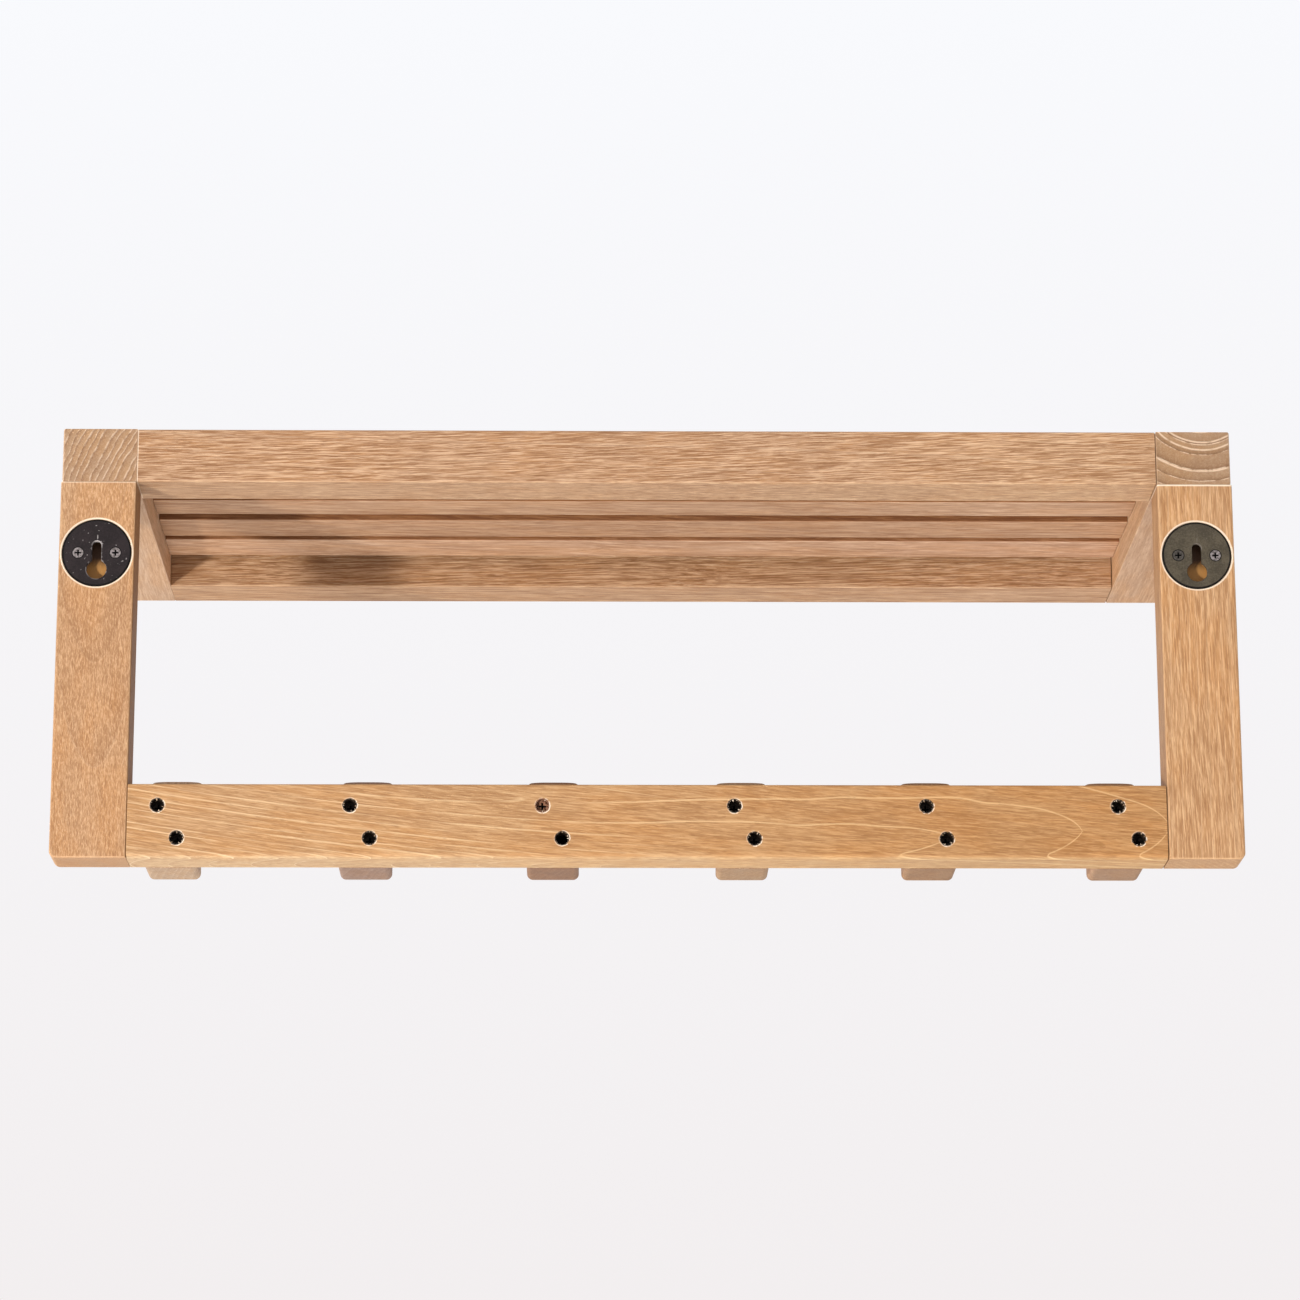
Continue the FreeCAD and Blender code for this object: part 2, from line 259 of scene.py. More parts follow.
PALE = (1.42, 1.60, 1.85)  # each shade of the wood, against its ground colour
LINE = (1.62, 2.00, 2.50)
WARM = (1.06, 0.96, 0.80)
DARK = (0.62, 0.51, 0.41)
PORE = (0.45, 0.34, 0.28)
END = (0.79, 0.81, 0.82)  # end grain is darker
FRESH_WOOD_AND_HIGHLIGHT = (0.92, 0.76, 0.58)  # newly cut fibres, and the colour of painted highlights
BORE_SHADE = (0.009, 0.005, 0.004)  # painted shade on the walls of a bored hole
SHALLOW_BORE_SHADE = (0.20, 0.085, 0.045)  # lighter painted shade on the walls of the shallow one
POCKET_WOOD = (0.46, 0.225, 0.062)  # the wood of the pocket behind a plate
POCKET_SHADOW = (0.07, 0.030, 0.012)  # painted shade at its narrow upper end

LEAST_CROSSING = 0.07
POINTEDNESS = 6.0  # of arched lines
STRAIGHT = ((0, 0), (0, 0))

# the size of each noise along and across the grain, in millimetres
PATCH_SIZE = (40, 4)
PORE_SIZE = (5, 0.5)
BLOTCH_SIZE = (70, 9)
HUE_SIZE = (45, 14)
BULGE_SIZE = (60, 9)

# where each noise starts to show and where it shows in full
LINE_PATCHES = (0.36, 0.6)
RING_PATCHES = (0.2, 0.5)
PORES = (0.6, 0.72)
HUES = (0.4, 0.62)
BLOTCHES = (0.42, 0.7)
DARK_STROKES = (0.48, 0.38)
PALE_STROKES = (0.53, 0.62)

FRESH_WIDTH = 1.1
CUT_DEPTH = 0.7
RAGGEDNESS = 0.8
TORN_PATCHES = (0.38, 0.54)
BORE_EDGE = (0.65, 0.4)  # beyond a bore's radius, where the painted shade on its wall starts and where it is full
BORE_MOUTH = (0.5, 0.3)
MOUTH_DEPTH = (-0.15, -0.45)
POCKET_EDGE = (14.0, 13.0)
POCKET_DEPTH = (-3.0, -3.4)
POCKET_SHADE = (-7.0, 0.0)  # from the plain wood of its lower end to the painted shade of its upper one


def shade(ground, factors):
    return tuple(min(1.0, part * factor) for part, factor in zip(ground, factors))


def heartwards(graph, run, across, heart, bow, sway, seed):
    """How far a place is from the heart of the tree, on the two axes across the grain. The heart
    bends away from its straight line beyond a place along the grain: below it where that is
    negative, above it otherwise."""
    amount, reach = sway
    aside = [graph.times(cross, 0.4 / reach) for cross in across]
    slow = graph.vector(graph.times(run, 1 / reach), *aside)
    shift = graph.times(graph.less(graph.noise(slow, detail=0.6, seed=seed), 0.5), 2 * amount)
    gaps = []
    for cross, (start, slope), (bent_from, bend) in zip(across, heart, bow):
        centre = graph.add(graph.times(run, slope), start)
        if bend:
            beyond = graph.less(bent_from, run) if bent_from < 0 else graph.less(run, bent_from)
            beyond = graph.math("MAXIMUM", beyond, 0.0)
            centre = graph.add(centre, graph.times(graph.times(beyond, beyond), bend))
        gaps.append(graph.add(graph.less(cross, centre), shift))
    return gaps


def stretched(graph, run, gaps, size):
    """A place for noise whose blobs have this size along and across the grain."""
    along, wide = size
    return graph.vector(graph.times(run, 1 / along), *[graph.times(gap, 1 / wide) for gap in gaps])


def ring_lines(graph, radius, spacing, seed):
    """How far a place is from a line at an uneven distance from the heart, and its share of the
    way to the next one."""
    turn = graph.times(radius, 1 / spacing)
    uneven = graph.noise(graph.vector(graph.times(turn, 0.6), 0.0, 0.0), detail=1.0, seed=seed)
    ring = graph.math("FRACT", graph.add(turn, graph.times(uneven, 1.3)))
    return graph.times(graph.math("MINIMUM", ring, graph.less(1.0, ring)), spacing), ring


def crossing(graph, gaps, radius, facing, along, end):
    """How squarely the surface cuts the rings: 1 and over where it is square to them, and
    LEAST_CROSSING where it lies on one."""
    first, second = [facing[axis] for axis in range(3) if axis != along]
    slant = graph.less(graph.times(gaps[0], second), graph.times(gaps[1], first))
    slant = graph.math("DIVIDE", graph.math("ABSOLUTE", slant), radius)
    return graph.math("MAXIMUM", end, graph.add(slant, LEAST_CROSSING))


def worn_and_lit_edge(graph, facing):
    """1 on a rounded edge, 0 on a flat face."""
    x, y, z = [graph.math("ABSOLUTE", part) for part in facing]
    return graph.step(graph.math("MAXIMUM", x, graph.math("MAXIMUM", y, z)), 0.97, 0.86)


def strokes(graph, colour, noise, share, dark, pale):
    """Dark and pale strokes where the noise is low and high."""
    colour = graph.mix(graph.times(graph.step(noise, *DARK_STROKES), share), colour, dark)
    return graph.mix(graph.times(graph.step(noise, *PALE_STROKES), share), colour, pale)


def even_lines(graph, run, off, patchy, line_width, lines_from):
    """1 on a pale line that is `off` away, 0 between two of them."""
    line = graph.step(off, line_width, 0.1 * line_width)
    line = graph.times(line, graph.step(patchy, *LINE_PATCHES))
    if lines_from:
        line = graph.times(line, graph.step(run, *lines_from))
    return line


def single_line(graph, run, off, patchy, line_width, rings_from):
    """The same for a line of its own, a little wider and less broken."""
    line = graph.step(off, 1.3 * line_width, 0.2 * line_width)
    line = graph.times(line, graph.step(patchy, *RING_PATCHES))
    if rings_from:
        line = graph.times(line, graph.step(run, *rings_from))
    return line


def pointed(graph, radius, gap):
    """A distance from the heart that makes pointed arches out of round ones."""
    aside = graph.times(graph.math("ABSOLUTE", gap), POINTEDNESS)
    return graph.math("SQRT", graph.add(graph.times(radius, radius), aside))


def weaker_on_sides(graph, end, share, side_share):
    """The whole share on the ends of a stick, and only a part of it on its sides."""
    return graph.add(graph.times(end, share * (1 - side_share)), share * side_share)


def uneven_colour(graph, colour, run, facing, highlight_from, gradient, painted_face_light):
    """Painted highlights beyond a place along the grain, changes of colour along the grain, some of them
    painted light, and painted light and shade on single faces.
    """
    # painted highlight: pale beyond a place along the grain, where a joint catches the light
    if highlight_from:
        start, share = highlight_from
        colour = graph.mix(graph.times(graph.step(run, start, start + 0.2), share), colour, FRESH_WOOD_AND_HIGHLIGHT)
    # on the back rail, front rail and slats this is painted light, paler towards -X
    if gradient:
        start, stop, factors = gradient
        colour = graph.mix(graph.step(run, start, stop), colour, graph.tint(colour, factors))
    # painted light and shade on the faces turned one way
    for axis, side, factors in painted_face_light:
        faces = graph.step(facing[axis], 0.5 * side, 0.9 * side)
        colour = graph.mix(faces, colour, graph.tint(colour, factors))
    return colour


def teak(name, along, heart, ground, seed, bow=STRAIGHT, spacing=3.0, line_width=0.7, lines=0.5,
         side_lines=1.0, lines_from=None, late=0.3, rings=(), arch=None, rings_from=None, wobble=0.0,
         dash=(12, 1.0), dashes=0.5, grain=0.4, sway=(2.0, 70), blotches=0.25, wear=0.4,
         highlight_from=None, gradient=None, painted_face_light=(), cuts=()):
    """Teak for one stick. `along` is the axis of its grain. `heart` is the middle of the tree, in
    millimetres on the two other axes, each as (place, slope), and `bow` bends it. Its evenly spaced
    lines appear along the grain between the two places of `lines_from`. `rings` adds single ones that
    appear between those of `rings_from`, as pointed arches round the heart, bow and sway of `arch`
    where that is given. `dash` is the size of the strokes along and across the grain. `lines`,
    `late`, `dashes`, `grain`, `blotches` and `wear` say how strongly each shows.
    The stick has a painted highlight beyond `highlight_from`, given as a place along the grain and how
    strongly. `gradient` changes its colour from one place along the grain to another, on some sticks as
    painted light, and `painted_face_light` paints light and shade on single faces, each given as an axis,
    a side and a colour."""
    graph = Graph(name)
    place = graph.millimetres()
    run = place[along]
    across = [place[axis] for axis in range(3) if axis != along]
    gaps = heartwards(graph, run, across, heart, bow, sway, seed)

    def blobs(size, step, detail=2.0, rough=0.5):
        return graph.noise(stretched(graph, run, gaps, size), detail=detail, rough=rough, seed=seed + step)

    radius = graph.length(*gaps)
    if wobble:
        bulge = blobs(BULGE_SIZE, 9, detail=1.0)
        radius = graph.add(radius, graph.times(graph.less(bulge, 0.5), wobble))
    facing = graph.facing()
    end = graph.step(graph.math("ABSOLUTE", facing[along]), 0.5, 0.9)

    square = crossing(graph, gaps, radius, facing, along, end)
    off, ring = ring_lines(graph, radius, spacing, seed + 2)
    patchy = blobs(PATCH_SIZE, 3)
    line = even_lines(graph, run, graph.math("DIVIDE", off, square), patchy, line_width, lines_from)
    if arch:
        arch_gaps = heartwards(graph, run, across, *arch, seed + 10)
        radius = graph.length(*arch_gaps)
        square = crossing(graph, arch_gaps, radius, facing, along, end)
        radius = pointed(graph, radius, arch_gaps[1])
    for distance in rings:
        off = graph.math("DIVIDE", graph.math("ABSOLUTE", graph.less(radius, distance)), square)
        single = single_line(graph, run, off, patchy, line_width, rings_from)
        line = graph.math("MAXIMUM", line, single)
    line = graph.times(line, weaker_on_sides(graph, end, lines, side_lines))
    dashed = blobs(dash, 4, rough=0.55)
    fine = blobs((dash[0] * 0.4, dash[1] * 0.6), 5, rough=0.6)
    pores = graph.step(blobs(PORE_SIZE, 6, detail=1.0), *PORES)
    blotch = blobs(BLOTCH_SIZE, 7)
    hue = blobs(HUE_SIZE, 8)

    pale, warm, dark, pore = [shade(ground, factors) for factors in (PALE, WARM, DARK, PORE)]
    late_share = weaker_on_sides(graph, end, late, side_lines)
    late_edge = graph.times(graph.math("POWER", ring, 8.0), 0.6)
    calm = graph.less(1.0, graph.times(end, 0.5))
    colour = graph.mix(graph.times(graph.step(hue, *HUES), 0.8), ground, warm)
    colour = graph.mix(graph.times(graph.step(blotch, *BLOTCHES), blotches), colour, dark)
    colour = graph.mix(graph.times(graph.math("POWER", ring, 2.0), late_share), colour, dark)
    colour = graph.mix(graph.times(late_edge, late_share), colour, pore)
    colour = strokes(graph, colour, dashed, graph.times(calm, dashes), dark, pale)
    colour = strokes(graph, colour, fine, graph.times(calm, grain), dark, pale)
    colour = graph.mix(end, colour, graph.tint(colour, END))
    colour = graph.mix(line, colour, shade(ground, LINE))
    # paler rounded edges: wear, and a painted highlight
    colour = graph.mix(graph.times(worn_and_lit_edge(graph, facing), wear), colour, pale)
    colour = graph.mix(graph.times(pores, 0.3), colour, pore)
    colour = uneven_colour(graph, colour, run, facing, highlight_from, gradient, painted_face_light)
    for centre, cut_radius, inside in cuts:
        colour = cut_edge(graph, colour, place, centre, cut_radius, inside, fine)
    graph.feed(graph.shader.inputs["Base Color"], colour)

    rough = graph.add(graph.times(fine, 0.2), 0.5)
    graph.feed(graph.shader.inputs["Roughness"], graph.add(rough, graph.times(pores, 0.12)))
    graph.shader.inputs["Specular IOR Level"].default_value = 0.3
    relief = graph.add(graph.times(dashed, 0.5), graph.times(fine, 0.4))
    relief = graph.less(relief, graph.times(pores, 0.35))
    graph.bump(relief, 0.16 * MM)
    return graph.material


def within(graph, away, radius, edge):
    """1 in a round place and 0 outside it, changing between two distances beyond its radius."""
    outer, inner = edge
    return graph.step(away, radius + outer, radius + inner)


def cut_edge(graph, colour, place, centre, radius, inside, ragged):
    """Pale torn wood round a hole cut in the wall face, more of it on the lit side as a painted highlight,
    and painted shade inside a bore. Where `inside` is None the hole is a plate's recess, with a painted
    highlight round its edge and a pocket behind the plate whose upper end has painted shade."""
    x, y, z = place
    right, up = graph.less(x, centre[0]), graph.less(z, centre[1])
    away = graph.length(right, up)
    away = graph.add(away, graph.times(graph.less(ragged, 0.5), RAGGEDNESS))
    shallow = graph.step(y, -CUT_DEPTH, 0.5 - CUT_DEPTH)
    rim = graph.math("MINIMUM", within(graph, away, radius, (FRESH_WIDTH, 0.5 * FRESH_WIDTH)), shallow)
    if inside is None:
        # painted highlight round the edge of the plate's recess
        colour = graph.mix(graph.times(rim, 0.8), colour, FRESH_WOOD_AND_HIGHLIGHT)
        # painted shade darkening the pocket towards its upper end
        pocket = graph.mix(graph.step(up, *POCKET_SHADE), POCKET_WOOD, POCKET_SHADOW)
        behind = graph.times(graph.step(y, *POCKET_DEPTH), graph.step(away, *POCKET_EDGE))
        return graph.mix(behind, colour, pocket)
    # torn fibres all round, and more on the lit side as a painted highlight
    lit_side = graph.step(graph.add(right, graph.times(up, 0.6)), radius, -radius)
    patchy = graph.noise(graph.vector(x, z, 0.0), scale=0.5, detail=2.0, seed=SEED)
    torn = graph.times(graph.step(patchy, *TORN_PATCHES), graph.add(graph.times(lit_side, 0.7), 0.3))
    colour = graph.mix(graph.times(rim, torn), colour, FRESH_WOOD_AND_HIGHLIGHT)
    # painted shade on the wall and mouth of a bore
    wall = graph.math("MINIMUM", within(graph, away, radius, BORE_EDGE), graph.step(y, *MOUTH_DEPTH))
    wall = graph.math("MAXIMUM", wall, within(graph, away, radius, BORE_MOUTH))
    return graph.mix(graph.times(wall, 0.95), colour, inside)


ALONG_X, ALONG_Y, ALONG_Z = 0, 1, 2


def corners_of(node):
    """The lowest and highest corners of a node, in millimetres."""
    return [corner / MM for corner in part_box(node)]


HOOK_COUNT = 6
SHALLOW_HOOK = 4  # its upper screw sits near the surface
SCREW_HEAD = 3.1  # the radius of a hook screw's head
BORE_RADIUS = 3.3

# how far below the wall face the top of a screw's head is
DEEP_HEAD = -corners_of("hook_1_screws")[1].y
SHALLOW_HEAD = -corners_of(f"hook_{SHALLOW_HOOK}_screws")[1].y

PLATE_LOWEST, PLATE_HIGHEST = corners_of("right_keyhole_plate")
PLATE_X = (PLATE_LOWEST.x + PLATE_HIGHEST.x) / 2
PLATE_Z = (PLATE_LOWEST.z + PLATE_HIGHEST.z) / 2
PLATE_RADIUS = (PLATE_HIGHEST.x - PLATE_LOWEST.x) / 2
PLATE_PLAY = 0.35

JOINT_Z = corners_of("right_post")[1].z  # between the posts and the arms
INNER_X = corners_of("right_arm")[0].x  # between the arms and the rails


def bore_places():
    """The x and z of each counterbore in the hook rail, in millimetres."""
    places = []
    for hook in range(1, HOOK_COUNT + 1):
        lowest, highest = corners_of(f"hook_{hook}_screws")
        places.append((highest.x - SCREW_HEAD, highest.z - SCREW_HEAD))
        places.append((lowest.x + SCREW_HEAD, lowest.z + SCREW_HEAD))
    return places


def stick_looks():
    """How the long pieces and the arms look."""
    # each counterbore gets painted shade on its walls, lighter in the shallow one
    bores = [(place, BORE_RADIUS, BORE_SHADE) for place in bore_places()]
    shallow = 2 * (SHALLOW_HOOK - 1)
    bores[shallow] = (bores[shallow][0], BORE_RADIUS, SHALLOW_BORE_SHADE)
    plate_cuts = [[((side * PLATE_X, PLATE_Z), PLATE_RADIUS + PLATE_PLAY, None)] for side in (-1, 1)]
    return {
        # painted highlight at its joint with the arm, painted light paler towards -X, painted shade on its
        # underside
        "shelf_back_rail": dict(
            along=ALONG_X, heart=((-150, 0.02), (20, -0.04)), bow=((0, 0), (0, 0.00004)), spacing=2.4,
            ground=(0.435, 0.247, 0.130), lines=0.3, line_width=0.5, dash=(40, 0.5), dashes=1.0,
            grain=0.9, sway=(0.4, 90), blotches=0.45, gradient=(-60, -220, (1.09, 1.11, 1.10)),
            painted_face_light=((ALONG_Z, -1, (0.96, 0.97, 0.93)),), highlight_from=(INNER_X - 0.7, 0.5)),
        # painted light paler towards -X, and painted shade on its underside
        "shelf_front_rail": dict(
            along=ALONG_X, heart=((-170, 0.03), (90, -0.02)), spacing=3.0,
            ground=(0.365, 0.204, 0.101), lines=0.25, dash=(40, 0.7), dashes=1.0, grain=0.7,
            sway=(1.2, 90), gradient=(-60, -220, (1.10, 1.12, 1.17)),
            painted_face_light=((ALONG_Z, -1, (0.96, 0.95, 0.94)),)),
        # painted light from below on its underside
        "hook_rail": dict(
            along=ALONG_X, heart=((-19.9, 0.03), (-125.3, 0.08)), bow=((0, -0.00007), (0, 0.00016)),
            spacing=2.9, line_width=0.5, lines_from=(-30, 30), ground=(0.475, 0.269, 0.123), lines=0.65,
            rings=(26.0, 34.8, 42.7), rings_from=(60, -10),
            arch=(((-17.9, 0.05), (-147.8, -0.055)), ((-110, -0.0005), (0, 0)), (1.0, 30)),
            dash=(20, 0.8), dashes=0.35, grain=0.4, sway=(0.8, 80), late=0.25, wear=0.15,
            gradient=(250, -250, (0.926, 0.84, 0.69)), painted_face_light=((ALONG_Z, -1, (0.98, 1.12, 1.28)),), cuts=bores),
        # painted highlight at its top where it meets the arm, and painted shade on its face towards +X
        "left_post": dict(
            along=ALONG_Z, heart=((-200, 0.03), (-60, 0.05)), spacing=3.4,
            ground=(0.505, 0.281, 0.131), lines=0.2, dash=(34, 0.9), dashes=0.5, grain=0.45,
            sway=(1.0, 90), highlight_from=(JOINT_Z - 1.1, 0.8), painted_face_light=((ALONG_X, 1, (0.84, 0.84, 0.86)),),
            cuts=plate_cuts[0]),
        # painted highlight at its top where it meets the arm, and painted shade on its face towards -X
        "right_post": dict(
            along=ALONG_Z, heart=((282, 0.03), (-50, 0.06)), spacing=4.0,
            ground=(0.460, 0.255, 0.124), lines=0.12, dash=(5, 0.8), dashes=0.35, grain=0.45,
            sway=(1.5, 70), highlight_from=(JOINT_Z - 0.9, 0.3), gradient=(0, 50, (1.06, 1.10, 1.15)),
            painted_face_light=((ALONG_X, -1, (0.52, 0.43, 0.29)),), cuts=plate_cuts[1]),
        # painted shade on its underside
        "left_arm": dict(
            along=ALONG_Y, heart=((-285.5, 0.0), (96.7, 0.0)), spacing=6.5, line_width=0.55,
            ground=(0.495, 0.302, 0.170), lines=0.75, side_lines=0.08, rings=(27.5, 31.5, 43.0), late=1.0,
            wobble=1.0, dash=(30, 1.2), dashes=0.25, grain=0.3, sway=(0.8, 60),
            painted_face_light=((ALONG_Z, -1, (0.83, 0.83, 0.86)),)),
        # painted shade on its underside
        "right_arm": dict(
            along=ALONG_Y, heart=((181, 0.0), (14, 0.0)), spacing=3.2, line_width=0.6,
            ground=(0.52, 0.32, 0.186), lines=0.45, side_lines=0.08, late=1.0, wobble=3.0,
            dash=(30, 1.2), dashes=0.25, grain=0.3, sway=(1.6, 60),
            painted_face_light=((ALONG_Z, -1, (0.82, 0.84, 0.87)),)),
    }


def slat_looks():
    """How the slats look. The second and third are the darkest, and all but the first get paler towards -X
    as painted light, with painted shade on their sides facing +Y."""
    grounds = ((0.41, 0.24, 0.140), (0.362, 0.204, 0.107), (0.336, 0.184, 0.094), (0.41, 0.24, 0.138))
    paler = ((1.0, 1.0, 1.0), (1.14, 1.19, 1.28), (1.11, 1.14, 1.20), (1.07, 1.07, 1.11))
    looks = {}
    for number, (ground, factors) in enumerate(zip(grounds, paler), start=1):
        looks[f"slat_{number}"] = dict(
            along=ALONG_X, heart=((-90 - 30 * number, 0.03), (40 - 25 * number, 0.04)), spacing=3.4,
            ground=ground, lines=0.25, dash=(34, 1.0), dashes=0.6, grain=0.45, blotches=0.6,
            gradient=(-60, -220, factors),
            # painted shade on the sides facing +Y, in the gaps between slats
            painted_face_light=((ALONG_Y, 1, (0.60, 0.43, 0.28)),))
    return looks


def hook_looks():
    """How the hooks look, each in a shade of its own."""
    grounds = ((0.34, 0.193, 0.104), (0.31, 0.169, 0.082), (0.36, 0.218, 0.117),
               (0.252, 0.13, 0.069), (0.30, 0.18, 0.12), (0.46, 0.303, 0.186))
    looks = {}
    for number, ground in enumerate(grounds, start=1):
        looks[f"hook_{number}"] = dict(
            along=ALONG_Z, heart=((40 * number - 260, 0.0), (-90.0, 0.03)), spacing=3.6,
            ground=ground, lines=0.15, dash=(14, 1.2), dashes=0.5, grain=0.5, wear=0.15)
    return looks


def dowel_looks():
    """How the hidden dowels look."""
    looks = {}
    for name in ("left_post", "right_post", "back_rail", "front_rail", "hook_rail"):
        looks[f"{name}_dowels"] = dict(
            along=ALONG_Z if "post" in name else ALONG_X, heart=((30, 0.0), (20, 0.0)),
            spacing=2.0, ground=(0.55, 0.40, 0.25), lines=0.2, dashes=0.3)
    return looks


def wood_materials():
    """One material per stick of wood, so that no two share their grain."""
    looks = {**stick_looks(), **slat_looks(), **hook_looks(), **dowel_looks()}
    for count, (node, look) in enumerate(looks.items()):
        paint(node, teak(f"teak_{node}", seed=SEED + SEED_STEP * count, **look))


# ---------------------------------------------------------------- metal

ENTRY_DROP = 8.6
ENTRY_RADIUS = 5.15
SLOT_RADIUS = 2.4
SLOT_TOP = 3.8  # the middle of its round end
PLATE_SCREW_DISTANCE = 9.5
PLATE_SCREW_HEAD = 2.7
SCRATCH_MIDDLE = 8.3
SCREW_SHADE_EDGE = (0.7, 0.3)  # beyond the head of a plate's screw, where the painted shade round it ends and where it is full

LACQUER_SHADES = (0.42, 0.62)
RUBBED = (0.47, 0.58)
CHIPPED = (0.70, 0.74)
DIRT = (0.42, 0.62)

BARE_STEEL = (0.55, 0.50, 0.48)
PAINTED_RIM_SHADE = (0.004, 0.0035, 0.003)
# painted shade inside a screw's cross recess
RECESS_SHADE = (0.004, 0.004, 0.004)
LACQUER_STAIN = (0.055, 0.05, 0.038)
# black lacquer lightened to olive as a painted reflection
OLIVE_SHEEN = (0.054, 0.043, 0.027)
BLACK = (0.0095, 0.0054, 0.0058)
BRIGHT_ZINC = (0.40, 0.35, 0.34)
DIRTY_ZINC = (0.15, 0.13, 0.12)
# hook screws deep in their bores, painted near-black as shade
STEEL_IN_SHADE = (0.022, 0.018, 0.016)
STEEL_IN_SHADE_DIRT = (0.05, 0.04, 0.032)
RUSTY = (0.42, 0.23, 0.14)
RUSTY_DIRT = (0.09, 0.035, 0.02)


def keyhole_edge(graph, x, z):
    """How far outside the keyhole's outline a place on the plate is."""
    entry = graph.less(graph.length(x, graph.add(z, ENTRY_DROP)), ENTRY_RADIUS)
    level = graph.math("MINIMUM", graph.math("MAXIMUM", z, -ENTRY_DROP), SLOT_TOP)
    slot = graph.less(graph.length(x, graph.less(z, level)), SLOT_RADIUS)
    return graph.math("MINIMUM", entry, slot)


def lacquer(name, colour, rough, side, wear):
    """Thin satin lacquer on a stamped steel plate, rubbed through round the keyhole, with painted shade in
    a dark matt ring round its rim and round the head of each screw.
    """
    graph = Graph(name)
    x, y, z = graph.millimetres()
    place = graph.vector(x, y, z)
    x = graph.less(x, side * PLATE_X)
    z = graph.less(z, PLATE_Z)
    speckle = graph.noise(place, scale=1.2, detail=4.0, seed=SEED)
    smear = graph.noise(place, scale=0.12, detail=2.0, seed=SEED + 3)
    lighter = tuple(min(1.0, part * 1.7 + 0.003) for part in colour)
    dull = graph.add(graph.times(speckle, 0.5), graph.times(smear, 0.5))
    tint = graph.mix(graph.step(dull, *LACQUER_SHADES), colour, lighter)
    rubbed = graph.step(graph.noise(place, scale=0.45, detail=3.0, seed=SEED + 5), *RUBBED)
    hung_on = graph.step(graph.less(z, graph.times(x, 0.8)), SLOT_TOP, SLOT_TOP + 2)
    rim = graph.step(keyhole_edge(graph, x, z), 0.5, 0.15)
    worn = graph.times(rim, graph.math("MAXIMUM", hung_on, graph.times(rubbed, 0.45)))
    scratch = graph.length(graph.times(graph.add(x, 0.3), 5.0), graph.less(z, SCRATCH_MIDDLE))
    scratch = graph.times(graph.step(scratch, 1.5, 1.0), 0.6)
    chips = graph.step(graph.noise(place, scale=0.8, detail=1.0, seed=SEED + 6), *CHIPPED)
    worn = graph.math("MAXIMUM", graph.math("MAXIMUM", worn, scratch), graph.times(chips, 0.5))
    tint = graph.mix(graph.times(worn, wear), tint, BARE_STEEL)
    # painted shade: a dark matt ring at the plate's rim and round each screw head
    rim_shade = graph.step(graph.length(x, z), PLATE_RADIUS - 1.0, PLATE_RADIUS - 0.5)
    for screw in (-1, 1):
        away = graph.length(graph.less(x, screw * PLATE_SCREW_DISTANCE), z)
        rim_shade = graph.math("MAXIMUM", rim_shade, within(graph, away, PLATE_SCREW_HEAD, SCREW_SHADE_EDGE))
    tint = graph.mix(graph.times(rim_shade, 0.95), tint, PAINTED_RIM_SHADE)
    graph.feed(graph.shader.inputs["Base Color"], tint)
    dull = graph.add(graph.times(smear, 0.2), rough)
    graph.feed(graph.shader.inputs["Roughness"], graph.math("MAXIMUM", dull, rim_shade))
    graph.shader.inputs["Specular IOR Level"].default_value = 0.25
    graph.bump(speckle, 0.03 * MM)
    return graph.material


def plated(name, clean, dirty, rough, head_depth=0.0, stained_from=None):
    """Plated steel with a little dirt and painted black shade inside its cross recess, which starts at
    `head_depth` below the wall face. What lies further towards +X than `stained_from` has lacquer on it."""
    graph = Graph(name)
    x, y, z = graph.millimetres()
    place = graph.vector(x, y, z)
    dirt = graph.noise(place, scale=0.9, detail=4.0, seed=SEED + 8)
    colour = graph.mix(graph.step(dirt, *DIRT), clean, dirty)
    if stained_from is not None:
        stained = graph.times(graph.step(x, stained_from - 1, stained_from + 1), 0.8)
        colour = graph.mix(stained, colour, LACQUER_STAIN)
    # painted shade: black below the top of the head
    recess = graph.step(y, -head_depth - 0.1, -head_depth - 0.3)
    colour = graph.mix(recess, colour, RECESS_SHADE)
    graph.feed(graph.shader.inputs["Base Color"], colour)
    graph.feed(graph.shader.inputs["Roughness"], graph.add(graph.times(dirt, 0.3), rough))
    graph.shader.inputs["Metallic"].default_value = 1.0
    graph.bump(graph.noise(place, scale=3.0, detail=3.0, seed=SEED + 9), 0.02 * MM)
    return graph.material


def paint(node, material):
    for slot in nodes[node].material_slots:
        slot.material = material


def metal_materials():
    # this plate is black lacquer like the other; its olive colour is a painted reflection
    paint("left_keyhole_plate", lacquer("black_lacquer_with_painted_sheen", OLIVE_SHEEN, 0.5, -1, 0.12))
    paint("right_keyhole_plate", lacquer("black_lacquer", BLACK, 0.5, 1, 0.8))
    paint("right_plate_screws", plated("zinc_plate", BRIGHT_ZINC, DIRTY_ZINC, 0.25))
    stained = plated("stained_zinc_plate", BRIGHT_ZINC, DIRTY_ZINC, 0.25, stained_from=-PLATE_X)
    paint("left_plate_screws", stained)
    # near-black as painted shade in the deep bores
    steel_in_shade = plated("steel_in_painted_shade", STEEL_IN_SHADE, STEEL_IN_SHADE_DIRT, 0.35, DEEP_HEAD)
    dusty = plated("dusty_steel", RUSTY, RUSTY_DIRT, 0.6, SHALLOW_HEAD)
    for hook in range(1, HOOK_COUNT + 1):
        paint(f"hook_{hook}_screws", dusty if hook == SHALLOW_HOOK else steel_in_shade)


# ---------------------------------------------------------------- torn fibres

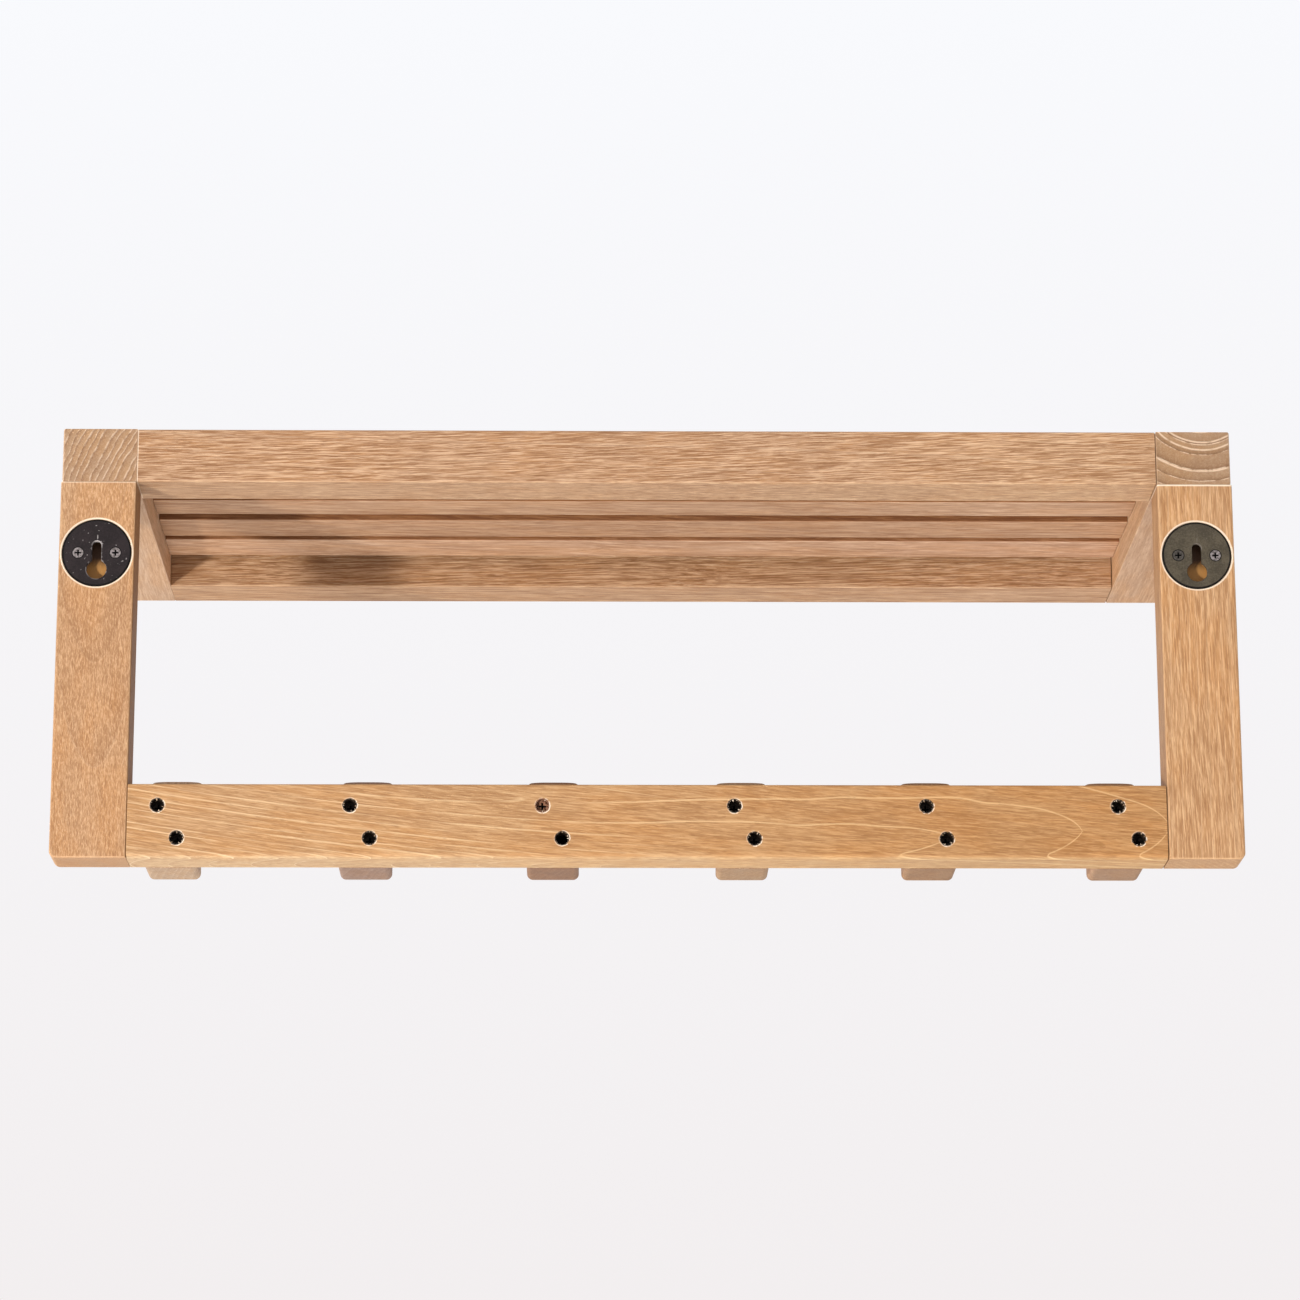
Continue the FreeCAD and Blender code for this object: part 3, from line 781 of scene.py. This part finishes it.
SPLINTERS_PER_BORE = 13
SPLINTER_ROOT = 0.25  # outside the bore's edge
SPLINTER_TOP = 0.02  # below the wall face
SPLINTER_UNDER = 0.25
SPLINTER_WIDTHS = (0.4, 1.0)
SPLINTER_DEPTHS = (0.1, 0.6)
SHORT_REACHES = (0.05, 0.45)
LONG_REACHES = (0.6, 1.3)
SHORT_SHARE = 0.8
UNEVENNESS = 0.3
FIBRE_BROWN = (0.46, 0.27, 0.14)


def splinter(mesh, centre, angle, reach, width, depth):
    """One fibre torn up at the mouth of a bore: a thin wedge that points to its middle."""
    x, z = centre
    out = Vector((math.cos(angle), 0, math.sin(angle)))
    side = Vector((-out.z, 0, out.x)) * width / 2
    mouth = Vector((x, 0, z)) + out * (BORE_RADIUS + SPLINTER_ROOT)
    tip = Vector((x, -depth, z)) + out * (BORE_RADIUS - reach)
    under = Vector((0, -SPLINTER_UNDER, 0))
    top = Vector((0, -SPLINTER_TOP, 0))
    corners = [mouth + side + top, mouth - side + top, mouth + under, tip]
    verts = [mesh.verts.new(corner * MM) for corner in corners]
    for face in ((0, 1, 3), (1, 2, 3), (2, 0, 3), (0, 2, 1)):
        mesh.faces.new([verts[index] for index in face])


def fibre_material():
    graph = Graph("torn_fibres")
    x, y, z = graph.millimetres()
    place = graph.vector(graph.times(x, 0.4), y, graph.times(z, 3.0))
    streak = graph.noise(place, detail=2.0, seed=SEED + 40)
    colour = graph.mix(graph.step(streak, 0.35, 0.65), FIBRE_BROWN, FRESH_WOOD_AND_HIGHLIGHT)
    graph.feed(graph.shader.inputs["Base Color"], colour)
    graph.feed(graph.shader.inputs["Roughness"], graph.add(graph.times(streak, 0.2), 0.6))
    graph.bump(streak, 0.05 * MM)
    return graph.material


def torn_fibres():
    dice = random.Random(SEED)
    mesh = bmesh.new()
    for centre in bore_places():
        start = dice.uniform(0, math.tau)
        for count in range(SPLINTERS_PER_BORE):
            place = count + dice.uniform(-UNEVENNESS, UNEVENNESS)
            angle = start + place * math.tau / SPLINTERS_PER_BORE
            reaches = SHORT_REACHES if dice.random() < SHORT_SHARE else LONG_REACHES
            reach = dice.uniform(*reaches)
            width = dice.uniform(*SPLINTER_WIDTHS)
            depth = dice.uniform(*SPLINTER_DEPTHS)
            splinter(mesh, centre, angle, reach, width, depth)
    bmesh.ops.recalc_face_normals(mesh, faces=mesh.faces)
    data = bpy.data.meshes.new("torn_fibres")
    mesh.to_mesh(data)
    mesh.free()
    data.materials.append(fibre_material())
    piece = bpy.data.objects.new("torn_fibres", data)
    bpy.context.scene.collection.objects.link(piece)
    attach(piece, "root")


# ---------------------------------------------------------------- the whole

bpy.context.scene.view_settings.view_transform = "Standard"
add_studio()
wood_materials()
metal_materials()
torn_fibres()
